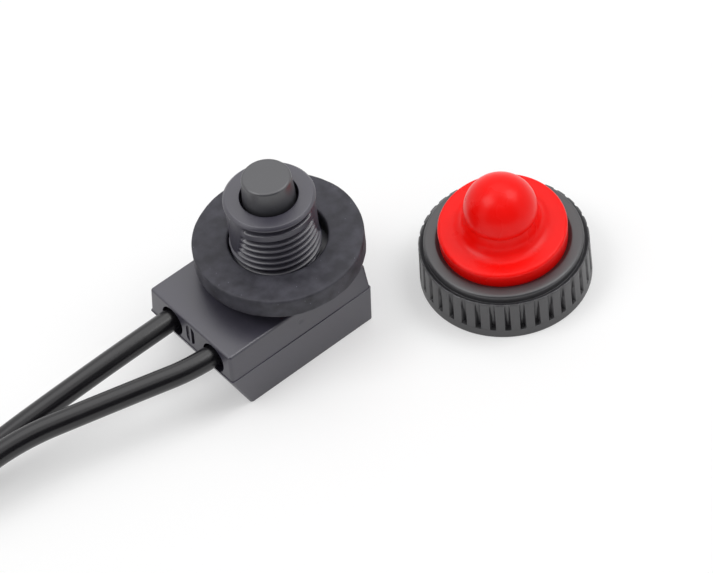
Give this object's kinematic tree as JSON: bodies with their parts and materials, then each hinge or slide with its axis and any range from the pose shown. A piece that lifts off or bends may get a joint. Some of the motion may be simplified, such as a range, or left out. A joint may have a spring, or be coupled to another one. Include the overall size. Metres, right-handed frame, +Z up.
{
  "type": "pushbutton switch",
  "caption": "Panel-mount momentary pushbutton switch with a threaded bushing, sealing washer and insulated leads, and its ribbed cap nut with a rubber boot lying beside it.",
  "frame": {"origin": "on the bushing's axis, in the plane of the base's underside", "axes": "+Z up along the bushing towards the button, +X along the housing away from the leads"},
  "size_m": [0.1057, 0.0701, 0.0269],
  "materials": {
    "housing_plastic": "satin, as moulded",
    "button_plastic": "satin, as moulded",
    "nut_plastic": "satin, as moulded",
    "washer_rubber": "dusty, with worn edges",
    "boot_rubber": "soft sheen",
    "lead_insulation": "smooth, as extruded",
    "tinned_copper": "dull tinned strands",
    "contact_brass": "stamped sheet",
    "contact_silver": "coined",
    "spring_steel": "drawn wire and sheet"
  },
  "bodies": {
    "housing": {"base_shell": "housing_plastic", "bushing_cover": "housing_plastic", "return_spring": "spring_steel", "sealing_washer": "washer_rubber", "knurled_nut": "nut_plastic", "rubber_boot": "boot_rubber", "far_fixed_contact": "contact_silver", "far_terminal": "contact_brass", "far_lead": "lead_insulation", "far_lead_core": "tinned_copper", "far_lead_tip": "tinned_copper", "near_fixed_contact": "contact_silver", "near_terminal": "contact_brass", "near_lead": "lead_insulation", "near_lead_core": "tinned_copper", "near_lead_tip": "tinned_copper"},
    "button": {"push_button": "button_plastic", "contact_bridge": "contact_brass", "bridge_retainer": "spring_steel", "far_bridge_contact": "contact_silver", "near_bridge_contact": "contact_silver"}
  },
  "joints": [
    {"name": "button_press", "type": "slide", "parent": "housing", "child": "button", "axis": [0, 0, -1], "range_m": [0, 0.0024], "stiffness_N_per_m": 800, "springref_m": -0.004, "deforming": ["return_spring"]}
  ]
}
